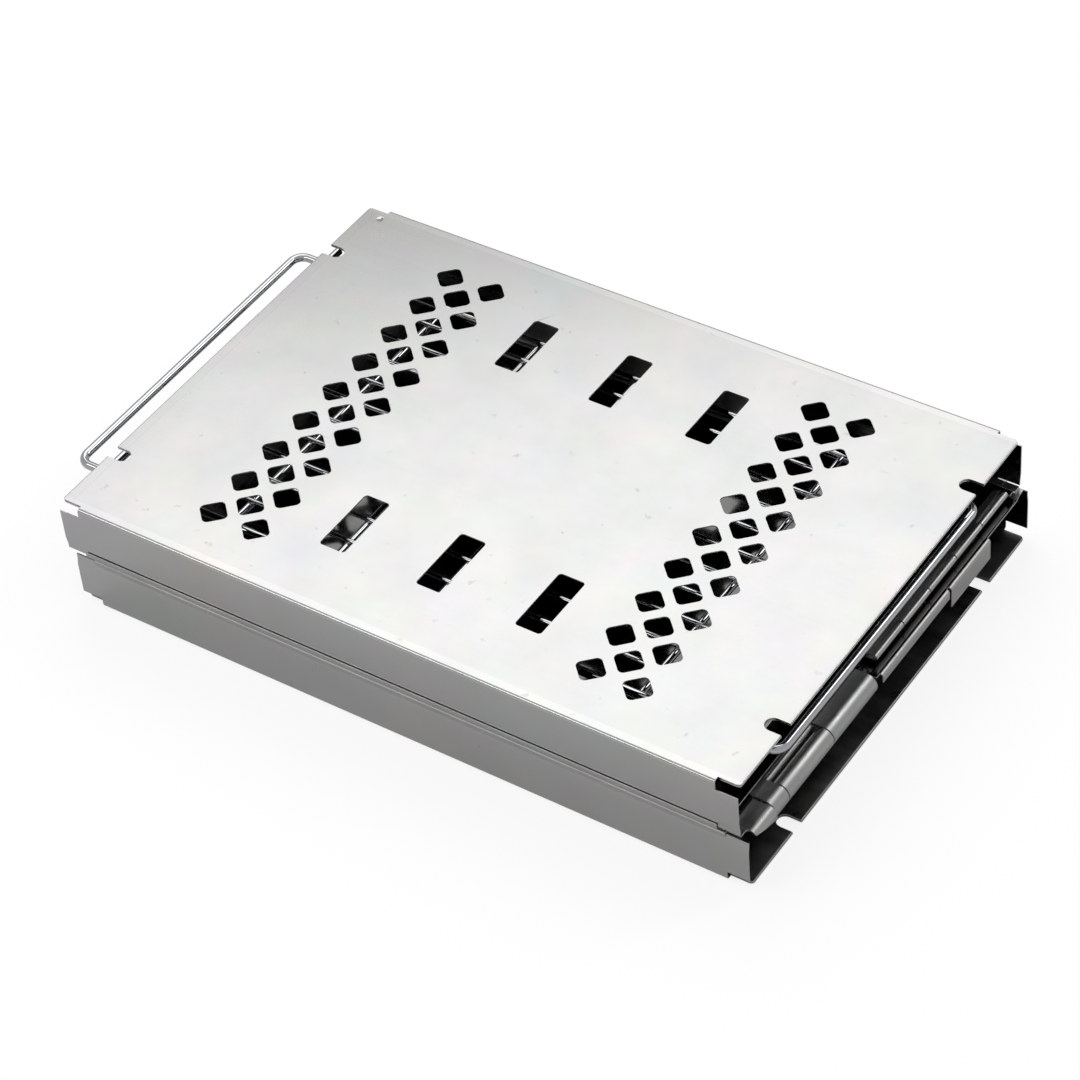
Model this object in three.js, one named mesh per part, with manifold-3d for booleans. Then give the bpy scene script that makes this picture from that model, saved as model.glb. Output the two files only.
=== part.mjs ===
// Folding camping wood stove, shown folded flat: two shallow sheet-steel halves lie face to face,
// joined at both short ends by end walls that fold in half between them.
// Millimetres, +Z up. The origin is the centre of the underside, X runs along the long side.
import * as THREE from 'three';
import { mergeVertices } from 'three/addons/utils/BufferGeometryUtils.js';
import Module from 'manifold-3d';

const wasm = await Module();
wasm.setup();

// Overall sizes of the folded stove
const plate_length = 426;
const body_width = 294;
const body_height = 70;
const sheet = 0.8;
const bend_radius = 2;
const groove = 0.4;
const clearance = 0.3;
const overrun = 1;

// Ends of the outer plates: corner reliefs, hems and round-ended notches
const relief_length = 13;
const relief_width = 3.5;
const relief_depth = 6;
const hem_width = relief_length;
const notch_offset = 100;
const notch_width = 9;
const notch_depth = 12;

// Air holes: two bands of diamonds on a 45 degree lattice, and a row of slots along each long side
const lattice_pitch = 28;
const band_offset = 120;
const diamond_side = 13.9;
const diamond_corner = 3;
const band_rows = 8;
const slot_width = 16;
const slot_length = 43;
const slot_pitch = 62;
const slot_offset = 82.5;
const slots_in_row = 3;

// Inner panels: seam over the wall rims, step down that leaves the bay for the folded end walls
const seam_height = 3.5;
const step_inset = 6;
const step_run = 2.5;
const leaf_bay = 4.4;
const front_lip_radius = 5;
const front_lip_heights = [2, 8];

// Hinges: wide barrels on a tube at one end of each half, wire curls everywhere else
const wire_pin_radius = 0.8;
const tube_radius = 5.5;
const tube_wall = 0.8;
const end_margin = 1;
const knuckle_gap = 0.6;
const wide_hinge_inset = 16;
const wide_hinge_back = -16;
const wide_knuckle_inset = 13.5;
const wide_knuckle_length = 44;
const wire_hinge_front = -8;
const wire_knuckles = 5;
const fold_knuckles = 9;
const recess_depth = 10.5;
const curl_rise = 5;
const curl_root = 4;

// End walls
const leaf_length = 100;
const leaf_side_gap = 3.7;
const leaf_setback = 12;
const bead_inset = 34;
const bead_width = 10;
const bead_depth = 0.8;
const bead_count = 2;

// Flanges that hang from the end of each inner panel
const tall_flange_height = 14;
const tall_flange_ends = [61, 104];
const short_flange_height = 6;
const short_flange_ends = [-12, 59];

// Runners that carry the cooking grate in the upper half and the ash tray in the lower one
const runner_length = 180;
const runner_inset = 42.5;
const runner_height = 15.5;
const runner_flange = 10;
const runner_lip = 7.8;

// Cooking grate
const frame_rod_radius = 2.5;
const grate_side_gap = 3;
const loop_reach = 23;
const loop_margin = 0.5;
const loop_radius = 12;
const cross_rod_radius = 2;
const cross_rods = 7;
const cross_rod_pitch = 65;
const wire_radius = 1.5;
const wires = 10;
const weld_depth = 1;

// Ash tray and fire grate
const tray_length = 360;
const tray_depth = 13.7;
const tray_body_gap = 1.5;
const tray_corner = 9;
const tray_end_lip = 4;
const tray_side_gap = 1;
const fire_grate_length = 336;
const fire_grate_side_gap = 10;
const fire_grate_height = 8;
const fire_slot_web = 24;
const fire_slot_width = 8;
const fire_slot_rows = 2;
const fire_slots_in_row = 15;
const fire_slot_pitch = 21;

// Facets
const corner_steps = 2;
const bend_steps = 4;
const curl_steps = 9;
const barrel_steps = 13;
const round_steps = 6;
const pin_sides = 10;
const tube_sides = 20;
const frame_rod_sides = 8;
const thin_rod_sides = 6;

// Places that follow from the sizes above
const half_length = plate_length / 2;
const half_width = body_width / 2;
const middle_z = body_height / 2;
const curl_radius = wire_pin_radius + clearance + sheet;
const curl_line = curl_radius - sheet / 2;
const barrel_radius = tube_radius + clearance + sheet;
const barrel_line = barrel_radius - sheet / 2;
const upper_shift = curl_radius - barrel_radius;
const lower_leaf_z = middle_z - curl_line;
const upper_leaf_z = middle_z + curl_line;
const wide_pin = new THREE.Vector2(half_length - end_margin - barrel_radius, lower_leaf_z - barrel_line);
const fold_pin = new THREE.Vector2(wide_pin.x - leaf_length, middle_z);
const wire_pin = new THREE.Vector2(wide_pin.x, upper_leaf_z + curl_line);
const panel_z = middle_z - leaf_bay / 2 - sheet / 2;
const rim_z = middle_z - groove / 2 - sheet - clearance;
const wall_inner = half_width - sheet;
const tab_half_width = half_width - relief_width;
const panel_half_width = wall_inner - step_inset - step_run;
const leaf_half_width = panel_half_width - leaf_side_gap;
const wide_hinge_ends = [wide_hinge_inset - leaf_half_width, wide_hinge_back];
const wide_knuckle_front = wide_hinge_ends[0] + wide_knuckle_inset;
const wide_knuckle_ends = [wide_knuckle_front, wide_knuckle_front + wide_knuckle_length];
const wire_hinge_ends = [wire_hinge_front, leaf_half_width];
const runner_spacing = body_width - 2 * runner_inset;
const lip_top = sheet + clearance + runner_height;
const rod_z = body_height - lip_top + sheet + clearance + frame_rod_radius;
const grate_half_width = runner_spacing / 2 - grate_side_gap;
const tray_rim_z = lip_top + clearance;
const tray_width = runner_spacing + 2 * sheet - 2 * runner_lip - 2 * tray_body_gap;
const tray_floor_z = tray_rim_z + sheet - tray_depth;
const fire_grate_width = tray_width - 2 * fire_grate_side_gap;
const fire_slot_length = fire_grate_width / fire_slot_rows - fire_slot_web;

const steel = (color, roughness) => new THREE.MeshStandardMaterial({ color, roughness, metalness: 1 });
const satin_steel = steel(0xc9c8c4, 0.32);
const panel_steel = steel(0xa9a9a6, 0.28);
const leaf_steel = steel(0xa3a5a3, 0.35);
const chrome_wire = steel(0xd9dcdf, 0.12);
const pin_steel = steel(0xb4b4b2, 0.25);
const tray_steel = steel(0x8f908e, 0.4);

// Solids

const solid = (geometry) => {
  const bare = geometry.clone();
  bare.deleteAttribute('normal');
  bare.deleteAttribute('uv');
  const merged = mergeVertices(bare);
  const vertProperties = new Float32Array(merged.attributes.position.array);
  const triVerts = new Uint32Array(merged.index.array);
  return new wasm.Manifold(new wasm.Mesh({ numProp: 3, vertProperties, triVerts }));
};

const piece = (name, body, material) => {
  const source = body.getMesh();
  const geometry = new THREE.BufferGeometry();
  geometry.setAttribute('position', new THREE.BufferAttribute(source.vertProperties, source.numProp));
  geometry.setIndex(new THREE.BufferAttribute(source.triVerts, 1));
  geometry.computeVertexNormals();
  const mesh = new THREE.Mesh(geometry, material);
  mesh.name = name;
  return mesh;
};

const joined = (parts) => parts.reduce((whole, part) => whole.add(part));

const box = (x, y, z) => {
  const size = [x[1] - x[0], y[1] - y[0], z[1] - z[0]];
  const geometry = new THREE.BoxGeometry(...size);
  geometry.translate(x[0] + size[0] / 2, y[0] + size[1] / 2, z[0] + size[2] / 2);
  return solid(geometry);
};

const x_axis = new THREE.Vector3(1, 0, 0);
const y_axis = new THREE.Vector3(0, 1, 0);
const z_axis = new THREE.Vector3(0, 0, 1);

const extruded = (shapes, depth) => (
  new THREE.ExtrudeGeometry(shapes, { depth, bevelEnabled: false, curveSegments: round_steps })
);

// An outline in X and Z, drawn out along Y
const along_y = (shape, ends) => {
  const geometry = extruded(shape, ends[1] - ends[0]);
  geometry.applyMatrix4(new THREE.Matrix4().makeBasis(x_axis, z_axis, y_axis.clone().negate()));
  geometry.translate(0, ends[1], 0);
  return solid(geometry);
};

// An outline in Y and Z, drawn out along X
const along_x = (shape, ends) => {
  const geometry = extruded(shape, ends[1] - ends[0]);
  geometry.applyMatrix4(new THREE.Matrix4().makeBasis(y_axis, z_axis, x_axis));
  geometry.translate(ends[0], 0, 0);
  return solid(geometry);
};

// Outlines in X and Y, drawn out along Z
const along_z = (shapes, ends) => {
  const geometry = extruded(shapes, ends[1] - ends[0]);
  geometry.translate(0, 0, ends[0]);
  return solid(geometry);
};

// Points round a centre, from one angle to another, in degrees
const arc = (centre, radius, from, to, steps) => {
  const points = [];
  for (let i = 0; i <= steps; i += 1) {
    const angle = THREE.MathUtils.degToRad(from + (to - from) * i / steps);
    points.push(new THREE.Vector2(centre.x + radius * Math.cos(angle), centre.y + radius * Math.sin(angle)));
  }
  return points;
};

const at = (x, y) => new THREE.Vector2(x, y);

// The section of a bent sheet: its middle line with half the sheet on either side
const bent_sheet = (line) => {
  const offset = line.map((point, i) => {
    const before = line[Math.max(i - 1, 0)];
    const after = line[Math.min(i + 1, line.length - 1)];
    const back = point.clone().sub(before).normalize();
    const ahead = after.clone().sub(point).normalize();
    const run = back.clone().add(ahead).normalize();
    const lean = Math.max(run.dot(back), run.dot(ahead));
    return at(-run.y, run.x).multiplyScalar(sheet / 2 / lean);
  });
  const left = line.map((point, i) => point.clone().add(offset[i]));
  const right = line.map((point, i) => point.clone().sub(offset[i]));
  return new THREE.Shape([...left, ...right.reverse()]);
};

const mirrored_y = (body) => body.mirror([0, 1, 0]);

// A round rod between two heights of one axis
const rod = (radius, sides, axis, ends, place) => {
  const geometry = new THREE.CylinderGeometry(radius, radius, ends[1] - ends[0], sides);
  geometry.translate(0, (ends[0] + ends[1]) / 2, 0);
  if (axis === x_axis) geometry.rotateZ(-Math.PI / 2);
  geometry.translate(place.x, place.y, place.z);
  return solid(geometry);
};

// Outer shells

const diamond = (x, y) => {
  const half_diagonal = diamond_side / Math.SQRT2;
  const shape = new THREE.Shape();
  const points = [0, 90, 180, 270].flatMap((heading) => {
    const reach = half_diagonal - diamond_corner * Math.SQRT2;
    const turn = THREE.MathUtils.degToRad(heading);
    const centre = at(x + reach * Math.cos(turn), y + reach * Math.sin(turn));
    return arc(centre, diamond_corner, heading - 45, heading + 45, corner_steps);
  });
  shape.setFromPoints(points);
  return shape;
};

const rectangle = (x, y, width, height) => new THREE.Shape([
  at(x - width / 2, y - height / 2),
  at(x + width / 2, y - height / 2),
  at(x + width / 2, y + height / 2),
  at(x - width / 2, y + height / 2),
]);

// A slot with one round end at (x, y), open towards the nearer end of the plate
const notch = (side, y) => {
  const centre = at(side * (half_length - notch_depth + notch_width / 2), y);
  const mouth = side * (half_length + overrun);
  const round = arc(centre, notch_width / 2, 90, 90 + side * 180, round_steps);
  return new THREE.Shape([at(mouth, y + notch_width / 2), ...round, at(mouth, y - notch_width / 2)]);
};

const air_holes = () => {
  const shapes = [];
  for (const side of [-1, 1]) {
    for (const column of [-1, 0, 1]) {
      const rows = column === 0 ? band_rows : band_rows + 1;
      for (let row = 0; row < rows; row += 1) {
        const x = side * band_offset + column * lattice_pitch / 2;
        shapes.push(diamond(x, (row - (rows - 1) / 2) * lattice_pitch));
      }
    }
    for (let slot = 0; slot < slots_in_row; slot += 1) {
      const x = (slot - (slots_in_row - 1) / 2) * slot_pitch;
      shapes.push(rectangle(x, side * slot_offset, slot_width, slot_length));
    }
  }
  return shapes;
};

// The sheet folds back under each short end and leaves a slit as wide as the fit clearance
const end_hem = (side) => {
  const fold_radius = (sheet + clearance) / 2;
  const fold = at(half_length - fold_radius - sheet / 2, sheet / 2 + fold_radius);
  const line = [
    at(half_length - hem_width, sheet / 2),
    ...arc(fold, fold_radius, -90, 90, bend_steps),
    at(half_length - hem_width, fold.y + fold_radius),
  ];
  const hem = along_y(bent_sheet(line), [-tab_half_width, tab_half_width]);
  return side > 0 ? hem : hem.mirror([1, 0, 0]);
};

const lower_shell_solid = () => {
  const corner = at(half_width - bend_radius, bend_radius);
  const line_radius = bend_radius - sheet / 2;
  const right_side = [...arc(corner, line_radius, -90, 0, bend_steps), at(half_width - sheet / 2, rim_z)];
  const left_side = right_side.map((point) => at(-point.x, point.y)).reverse();
  let shell = along_x(bent_sheet([...left_side, ...right_side]), [-half_length, half_length]);
  for (const side of [-1, 1]) {
    const end = [side * (half_length - relief_length), side * (half_length + overrun)].sort((a, b) => a - b);
    for (const wall of [-1, 1]) {
      const slit = [wall * tab_half_width, wall * (half_width + overrun)].sort((a, b) => a - b);
      shell = shell.subtract(box(end, slit, [-overrun, relief_depth]));
    }
    shell = shell.add(end_hem(side));
  }
  shell = shell.subtract(along_z(air_holes(), [-overrun, sheet + overrun]));
  for (const side of [-1, 1]) {
    const cuts = [-notch_offset, notch_offset].map((y) => notch(side, y));
    shell = shell.subtract(along_z(cuts, [-overrun, bend_radius + sheet + overrun]));
  }
  return shell;
};

// Inner panels

// The strip of a panel between its seam over one wall rim and the middle of the box
const panel_section = () => {
  const over_rim = middle_z - groove / 2 - sheet / 2;
  const outside = half_width + clearance + sheet / 2;
  const side = [
    at(panel_half_width, panel_z),
    at(panel_half_width + step_run, over_rim),
    at(outside, over_rim),
    at(outside, over_rim + sheet / 2 - seam_height),
  ];
  const other = side.map((point) => at(-point.x, point.y)).reverse();
  return bent_sheet([...other, ...side]);
};

// Curl of the lower panel round the tube, under the barrel and up its outer side
const wide_curl_line = () => {
  const corner_radius = bend_radius - sheet / 2;
  const rise_x = wide_pin.x - barrel_line;
  const corner = at(rise_x - corner_radius, panel_z - corner_radius);
  return [
    at(corner.x - bend_radius, panel_z),
    ...arc(corner, corner_radius, 90, 0, bend_steps),
    ...arc(wide_pin, barrel_line, 180, 450, barrel_steps),
  ];
};

// Curl of the lower panel round the wire pin at its other end
const wire_curl_line = () => {
  const pin = turned_point(wire_pin);
  return [
    at(pin.x + curl_radius + curl_rise + curl_root, panel_z),
    at(pin.x + curl_radius + curl_rise, panel_z),
    at(pin.x + curl_radius, pin.y - curl_line),
    ...arc(pin, curl_line, 270, 0, curl_steps),
  ];
};

const end_flange = (ends, height, radius) => {
  const corner = at(half_length - radius, panel_z + sheet / 2 - radius);
  const line = [
    at(corner.x - bend_radius, panel_z),
    ...arc(corner, radius - sheet / 2, 90, 0, bend_steps),
    at(half_length - sheet / 2, panel_z + sheet / 2 - height),
  ];
  return along_y(bent_sheet(line), ends);
};

// The lip in front of the wide hinge: round, and lower towards the front wall
const front_lip = (ends) => {
  const [low, high] = front_lip_heights;
  const top = panel_z + sheet / 2;
  const under = new THREE.Shape([
    at(ends[0] - overrun, 0),
    at(ends[1] + overrun, 0),
    at(ends[1] + overrun, top - high),
    at(ends[0] - overrun, top - low),
  ]);
  const reach = [half_length - front_lip_radius, half_length + overrun];
  return end_flange(ends, high, front_lip_radius).subtract(along_x(under, reach));
};

const knuckle_window = (ends, count, index) => {
  const pitch = (ends[1] - ends[0]) / count;
  return [ends[0] + pitch * index - knuckle_gap / 2, ends[0] + pitch * (index + 1) + knuckle_gap / 2];
};

const lower_panel_solid = () => {
  const outermost = half_width + clearance + sheet + overrun;
  const whole_height = [0, body_height];
  const seam_end = half_length - relief_length;
  let panel = along_x(panel_section(), [-half_length, half_length]);
  for (const side of [-1, 1]) {
    const end = [side * seam_end, side * (half_length + overrun)].sort((a, b) => a - b);
    for (const wall of [-1, 1]) {
      const beyond = [wall * (wall_inner - clearance), wall * outermost].sort((a, b) => a - b);
      panel = panel.subtract(box(end, beyond, whole_height));
    }
  }
  const recess_x = wide_pin.x - barrel_radius - knuckle_gap;
  const wide_recess = [wide_hinge_ends[0] - knuckle_gap, wide_hinge_ends[1] + knuckle_gap];
  panel = panel.subtract(box([recess_x, half_length + overrun], wide_recess, whole_height));
  panel = panel.add(along_y(bent_sheet(wide_curl_line()), wide_knuckle_ends));
  const lip_ends = [-panel_half_width, wide_recess[0]];
  const lip_bend = [half_length - front_lip_radius, half_length + overrun];
  const flange_bend = [half_length - bend_radius, half_length + overrun];
  panel = panel.subtract(box(lip_bend, [-outermost, lip_ends[1]], whole_height));
  panel = panel.subtract(box(flange_bend, [wide_recess[1], outermost], whole_height));
  panel = panel.add(front_lip(lip_ends));
  panel = panel.add(end_flange(tall_flange_ends, tall_flange_height, bend_radius));
  panel = panel.add(end_flange(short_flange_ends, short_flange_height, bend_radius));
  const pin = turned_point(wire_pin);
  const recess_end = -half_length + recess_depth;
  panel = panel.subtract(box(
    [-half_length - overrun, recess_end],
    [-outermost, wire_hinge_ends[0] - knuckle_gap],
    whole_height,
  ));
  const flat_end = pin.x + curl_radius + curl_rise + curl_root / 2;
  const hinge_cut = [wire_hinge_ends[0] - knuckle_gap, wire_hinge_ends[1]];
  panel = panel.subtract(box([-half_length - overrun, flat_end], hinge_cut, whole_height));
  let curls = along_y(bent_sheet(wire_curl_line()), wire_hinge_ends);
  for (let index = 0; index < wire_knuckles; index += 2) {
    const window = knuckle_window(wire_hinge_ends, wire_knuckles, index);
    curls = curls.subtract(box([-half_length - overrun, pin.x + curl_radius + knuckle_gap], window, whole_height));
  }
  return panel.add(curls);
};

// The two halves and the two folding end walls are alike: one is the other turned about this axis
function turned_point(point) {
  return at(upper_shift - point.x, body_height - point.y);
}

const turned = (body) => body.rotate([0, 180, 0]).translate([upper_shift, 0, body_height]);

// End walls

const beads = (z, direction) => {
  const shapes = [];
  for (let i = 0; i < bead_count; i += 1) {
    const share = (i + 1) / (bead_count + 1);
    shapes.push(rectangle(fold_pin.x + leaf_length * share, 0, bead_width, 2 * (leaf_half_width - bead_inset)));
  }
  const face = z + direction * sheet / 2;
  const heights = [face - direction * sheet / 2, face + direction * bead_depth];
  return along_z(shapes, heights.sort((a, b) => a - b));
};

const fold_curls = (leaf, first) => {
  let cut = leaf;
  const beyond = [fold_pin.x - curl_radius - overrun, fold_pin.x + curl_radius + knuckle_gap];
  for (let index = first; index < fold_knuckles; index += 2) {
    const window = knuckle_window([-leaf_half_width, leaf_half_width], fold_knuckles, index);
    cut = cut.subtract(box(beyond, window, [0, body_height]));
  }
  return cut;
};

// Lower half of the right end wall: wide barrels on the tube, wire curls at the fold
const barrel_leaf_solid = () => {
  const wrap = arc(fold_pin, curl_line, 0, 270, curl_steps);
  const barrel = arc(wide_pin, barrel_line, 90, -180, barrel_steps);
  let leaf = along_y(bent_sheet([...wrap, ...barrel]), [-leaf_half_width, leaf_half_width]);
  const past_end = [wide_pin.x - leaf_setback, half_length + overrun];
  const leaf_side = leaf_half_width + overrun;
  leaf = leaf.subtract(box(past_end, [-leaf_side, wide_hinge_ends[0]], [0, body_height]));
  leaf = leaf.subtract(box(past_end, [wide_hinge_ends[1], leaf_side], [0, body_height]));
  const window = [wide_knuckle_ends[0] - knuckle_gap, wide_knuckle_ends[1] + knuckle_gap];
  const window_x = [wide_pin.x - barrel_radius - knuckle_gap - sheet, half_length + overrun];
  leaf = leaf.subtract(box(window_x, window, [0, body_height]));
  return fold_curls(leaf.add(beads(lower_leaf_z, 1)), 0);
};

// Upper half of the right end wall: wire curls at both edges, cut back in front of the barrels
const wire_leaf_solid = () => {
  const wrap = arc(fold_pin, curl_line, 0, -270, curl_steps);
  const curl = arc(wire_pin, curl_line, -90, 180, curl_steps);
  let leaf = along_y(bent_sheet([...wrap, ...curl]), [-leaf_half_width, leaf_half_width]);
  const recess_x = upper_shift + half_length - recess_depth - clearance - overrun;
  leaf = leaf.subtract(box(
    [recess_x, half_length + overrun],
    [-leaf_half_width - overrun, wire_hinge_ends[0]],
    [0, body_height],
  ));
  const window_x = [wire_pin.x - curl_radius - knuckle_gap, half_length + overrun];
  for (let index = 1; index < wire_knuckles; index += 2) {
    const window = knuckle_window(wire_hinge_ends, wire_knuckles, index);
    leaf = leaf.subtract(box(window_x, window, [0, body_height]));
  }
  return fold_curls(leaf.add(beads(upper_leaf_z, -1)), 1);
};

// Hinge pins

const pin_rod = (pin, ends) => rod(wire_pin_radius, pin_sides, y_axis, ends, new THREE.Vector3(pin.x, 0, pin.y));

const hinge_tube = () => {
  const inner = tube_radius - tube_wall;
  const [low, high] = wide_hinge_ends;
  const outline = [at(inner, low), at(tube_radius, low), at(tube_radius, high), at(inner, high), at(inner, low)];
  const geometry = new THREE.LatheGeometry(outline, tube_sides);
  geometry.translate(wide_pin.x, 0, wide_pin.y);
  return solid(geometry);
};

// Runners

const runner_solid = () => {
  const web = runner_spacing / 2 + sheet / 2;
  const foot = sheet + clearance + sheet / 2;
  const top = sheet + clearance + runner_height - sheet / 2;
  const line = [
    at(web + runner_flange - sheet / 2, foot),
    at(web, foot),
    at(web, top),
    at(web + sheet / 2 - runner_lip, top),
  ];
  return along_x(bent_sheet(line), [-runner_length / 2, runner_length / 2]);
};

// Cooking grate

// A rod bent round a flat loop: one ring of points for each point of the path
const loop_rod = (path, radius, sides, z) => {
  const positions = [];
  const faces = [];
  const count = path.length;
  path.forEach((point, i) => {
    const back = point.clone().sub(path[(i + count - 1) % count]).normalize();
    const ahead = path[(i + 1) % count].clone().sub(point).normalize();
    const run = back.clone().add(ahead).normalize();
    const side = at(run.y, -run.x).divideScalar(run.dot(back));
    for (let k = 0; k < sides; k += 1) {
      const angle = 2 * Math.PI * (k + 0.5) / sides;
      const out = radius * Math.cos(angle);
      positions.push(point.x + side.x * out, point.y + side.y * out, z + radius * Math.sin(angle));
      const next = (k + 1) % sides;
      const here = i * sides;
      const there = ((i + 1) % count) * sides;
      faces.push(here + k, there + k, here + next, here + next, there + k, there + next);
    }
  });
  const geometry = new THREE.BufferGeometry();
  geometry.setAttribute('position', new THREE.Float32BufferAttribute(positions, 3));
  geometry.setIndex(faces);
  return solid(geometry);
};

const cooking_grate_solid = () => {
  const right = upper_shift + half_length - loop_margin - frame_rod_radius;
  const left = upper_shift - half_length - loop_reach + frame_rod_radius;
  const side_y = grate_half_width - frame_rod_radius;
  const path = [
    ...arc(at(right - loop_radius, side_y - loop_radius), loop_radius, 0, 90, bend_steps),
    ...arc(at(left + loop_radius, side_y - loop_radius), loop_radius, 90, 180, bend_steps),
    ...arc(at(left + loop_radius, loop_radius - side_y), loop_radius, 180, 270, bend_steps),
    ...arc(at(right - loop_radius, loop_radius - side_y), loop_radius, 270, 360, bend_steps),
  ];
  const parts = [loop_rod(path, frame_rod_radius, frame_rod_sides, rod_z)];
  const mesh_half = cross_rod_pitch * (cross_rods - 1) / 2;
  for (let i = 0; i < cross_rods; i += 1) {
    const x = upper_shift - mesh_half + cross_rod_pitch * i;
    parts.push(rod(cross_rod_radius, thin_rod_sides, y_axis, [-side_y, side_y], new THREE.Vector3(x, 0, rod_z)));
  }
  const wire_z = rod_z + cross_rod_radius + wire_radius - weld_depth;
  const wire_ends = [upper_shift - mesh_half - cross_rod_radius, upper_shift + mesh_half + cross_rod_radius];
  for (let i = 0; i < wires; i += 1) {
    const y = -side_y + 2 * side_y * (i + 1) / (wires + 1);
    parts.push(rod(wire_radius, thin_rod_sides, x_axis, wire_ends, new THREE.Vector3(0, y, wire_z)));
  }
  return joined(parts);
};

// Ash tray and fire grate

const rounded = (length, width, radius) => {
  const x = length / 2 - radius;
  const y = width / 2 - radius;
  const shape = new THREE.Shape();
  shape.setFromPoints([
    ...arc(at(x, y), radius, 0, 90, bend_steps),
    ...arc(at(-x, y), radius, 90, 180, bend_steps),
    ...arc(at(-x, -y), radius, 180, 270, bend_steps),
    ...arc(at(x, -y), radius, 270, 360, bend_steps),
  ]);
  return shape;
};

const ash_tray_solid = () => {
  const rim_width = runner_spacing - 2 * tray_side_gap;
  const rim = along_z(rounded(tray_length + 2 * tray_end_lip, rim_width, tray_corner), [tray_rim_z, tray_rim_z + sheet]);
  const body = along_z(rounded(tray_length, tray_width, tray_corner), [tray_floor_z, tray_rim_z + sheet]);
  const inside = rounded(tray_length - 2 * sheet, tray_width - 2 * sheet, tray_corner - sheet);
  const hollow = along_z(inside, [tray_floor_z + sheet, tray_rim_z + sheet + overrun]);
  return rim.add(body).subtract(hollow);
};

const fire_grate_solid = () => {
  const foot_z = tray_floor_z + sheet + clearance;
  const top_z = foot_z + fire_grate_height;
  const half = fire_grate_width / 2;
  const corner = at(half - bend_radius, top_z - bend_radius);
  const line_radius = bend_radius - sheet / 2;
  const side = [...arc(corner, line_radius, 90, 0, bend_steps), at(half - sheet / 2, foot_z)];
  const other = side.map((point) => at(-point.x, point.y)).reverse();
  const grate = along_x(bent_sheet([...other, ...side]), [-fire_grate_length / 2, fire_grate_length / 2]);
  const slots = [];
  for (let row = 0; row < fire_slot_rows; row += 1) {
    const y = (row - (fire_slot_rows - 1) / 2) * fire_grate_width / fire_slot_rows;
    for (let i = 0; i < fire_slots_in_row; i += 1) {
      const x = (i - (fire_slots_in_row - 1) / 2) * fire_slot_pitch;
      slots.push(rectangle(x, y, fire_slot_width, fire_slot_length));
    }
  }
  return grate.subtract(along_z(slots, [top_z - sheet - overrun, top_z + overrun]));
};

// The whole stove

const stove = new THREE.Group();
const lower_shell = lower_shell_solid();
const lower_panel = lower_panel_solid();
const barrel_leaf = barrel_leaf_solid();
const wire_leaf = wire_leaf_solid();
const tube = hinge_tube();
const upper_right_pin = pin_rod(wire_pin, wire_hinge_ends);
const fold_rod = pin_rod(fold_pin, [-leaf_half_width, leaf_half_width]);
const back_runner = runner_solid();
const front_runner = mirrored_y(back_runner);

stove.add(
  piece('lower_outer_shell', lower_shell, satin_steel),
  piece('lower_inner_panel', lower_panel, panel_steel),
  piece('upper_outer_shell', turned(lower_shell), satin_steel),
  piece('upper_inner_panel', turned(lower_panel), panel_steel),
  piece('right_lower_end_wall', barrel_leaf, leaf_steel),
  piece('right_upper_end_wall', wire_leaf, leaf_steel),
  piece('left_upper_end_wall', turned(barrel_leaf), leaf_steel),
  piece('left_lower_end_wall', turned(wire_leaf), leaf_steel),
  piece('right_lower_hinge_tube', tube, pin_steel),
  piece('left_upper_hinge_tube', turned(tube), pin_steel),
  piece('right_upper_hinge_pin', upper_right_pin, pin_steel),
  piece('left_lower_hinge_pin', turned(upper_right_pin), pin_steel),
  piece('right_fold_pin', fold_rod, pin_steel),
  piece('left_fold_pin', turned(fold_rod), pin_steel),
  piece('lower_back_runner', back_runner, panel_steel),
  piece('lower_front_runner', front_runner, panel_steel),
  piece('upper_back_runner', turned(back_runner), panel_steel),
  piece('upper_front_runner', turned(front_runner), panel_steel),
  piece('cooking_grate', cooking_grate_solid(), chrome_wire),
  piece('ash_tray', ash_tray_solid(), tray_steel),
  piece('fire_grate', fire_grate_solid(), tray_steel),
);

export default stove;
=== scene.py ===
# Folding camping wood stove, folded flat: two perforated steel boxes face to face, with a wire
# cooking grate, an ash tray and a fire grate stored inside. Metres, +Z up, X along the long side.
import math

import bmesh
import bpy
from mathutils import Matrix, Vector
from mathutils.bvhtree import BVHTree
from mathutils.geometry import delaunay_2d_cdt


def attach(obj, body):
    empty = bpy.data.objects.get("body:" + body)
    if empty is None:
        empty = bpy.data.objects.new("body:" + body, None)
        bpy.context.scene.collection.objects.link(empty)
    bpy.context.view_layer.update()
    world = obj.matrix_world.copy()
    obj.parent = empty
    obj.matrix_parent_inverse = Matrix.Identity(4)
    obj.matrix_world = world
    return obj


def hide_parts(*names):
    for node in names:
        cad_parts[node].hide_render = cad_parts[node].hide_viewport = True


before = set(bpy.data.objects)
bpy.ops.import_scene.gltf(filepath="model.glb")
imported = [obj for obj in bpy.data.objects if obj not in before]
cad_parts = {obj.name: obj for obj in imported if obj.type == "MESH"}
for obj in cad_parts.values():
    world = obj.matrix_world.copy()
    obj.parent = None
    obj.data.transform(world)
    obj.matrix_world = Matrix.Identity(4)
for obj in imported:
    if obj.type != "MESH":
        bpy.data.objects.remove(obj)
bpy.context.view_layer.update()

# The camera looks down on the top plate from beyond the near right corner,
# through a long lens and a little tilted, as in the photograph.
camera_place = Vector((0.8539, -1.1326, 1.3476))
camera_turn_degrees = (46.784, 4.116, 33.412)
camera_sensor = 36.0
camera_lens = 119.0


def new_object(name, data):
    made = bpy.data.objects.new(name, data)
    bpy.context.scene.collection.objects.link(made)
    return made


camera_data = bpy.data.cameras.new("camera")
camera_data.sensor_width = camera_sensor
camera_data.lens = camera_lens
camera = new_object("camera", camera_data)
camera.location = camera_place
camera.rotation_euler = [math.radians(turn) for turn in camera_turn_degrees]
bpy.context.scene.camera = camera


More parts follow.
